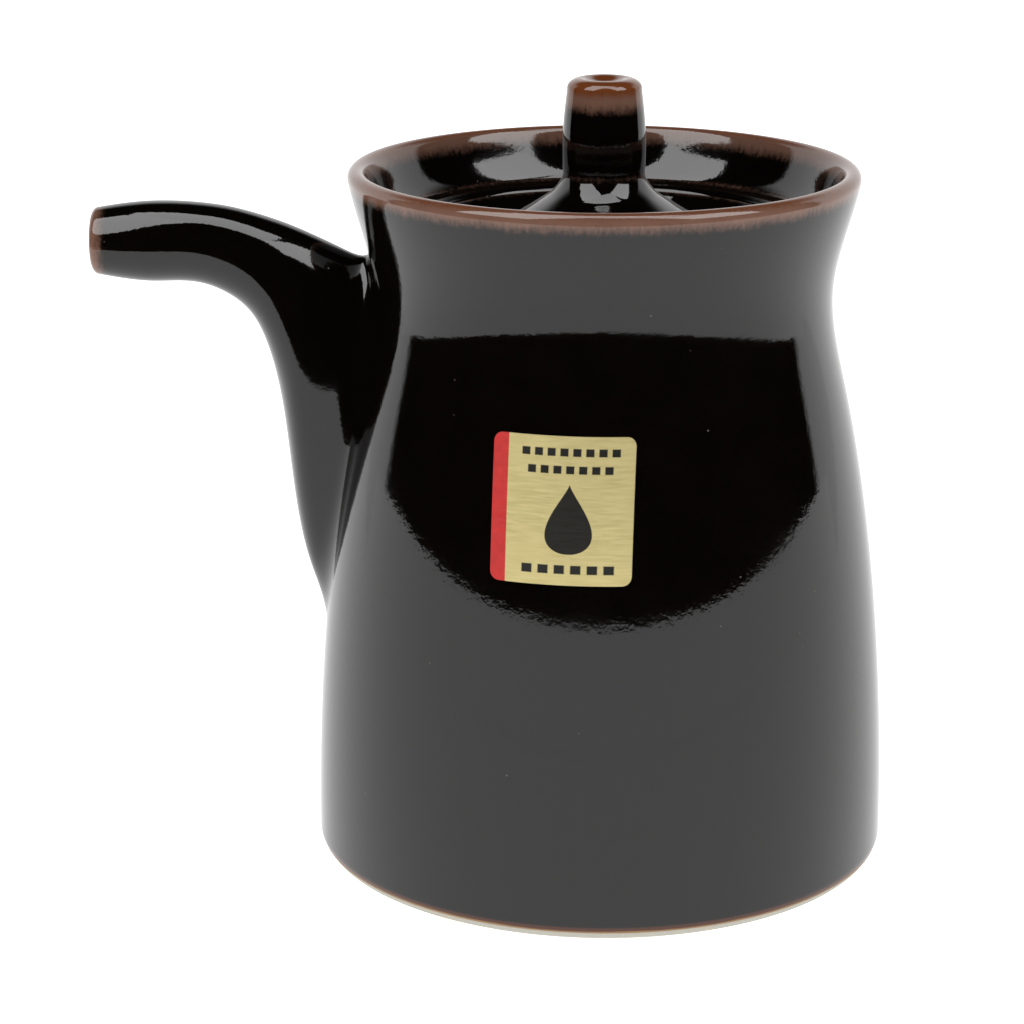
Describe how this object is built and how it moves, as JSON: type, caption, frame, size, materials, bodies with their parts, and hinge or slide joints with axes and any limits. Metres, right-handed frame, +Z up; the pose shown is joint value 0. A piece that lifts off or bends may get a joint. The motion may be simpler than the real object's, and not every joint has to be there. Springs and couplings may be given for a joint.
{
  "type": "soy sauce pot",
  "caption": "Small waisted porcelain pouring pot in dark brown-black glaze, with a horn-shaped spout, flared rim, sunken lift-off lid, vented knob and foil label.",
  "frame": {"origin": "centre of the foot ring, on the surface the pot stands on", "axes": "+Z up along the pot's axis; the spout points along -X; the label is on the -Y side, turned a little towards the spout"},
  "size_m": [0.0825, 0.06, 0.0812],
  "materials": {
    "glaze": "polished",
    "label_foil": "satin"
  },
  "bodies": {
    "pot": {"pot_body": "glaze", "spout": "glaze", "foil_label": "label_foil"},
    "lid": {"lid": "glaze", "lid_knob": "glaze"}
  },
  "joints": [
    {"name": "lid_lift", "type": "slide", "parent": "pot", "child": "lid", "axis": [0, 0, 1], "range_m": [0, 0.04]}
  ]
}
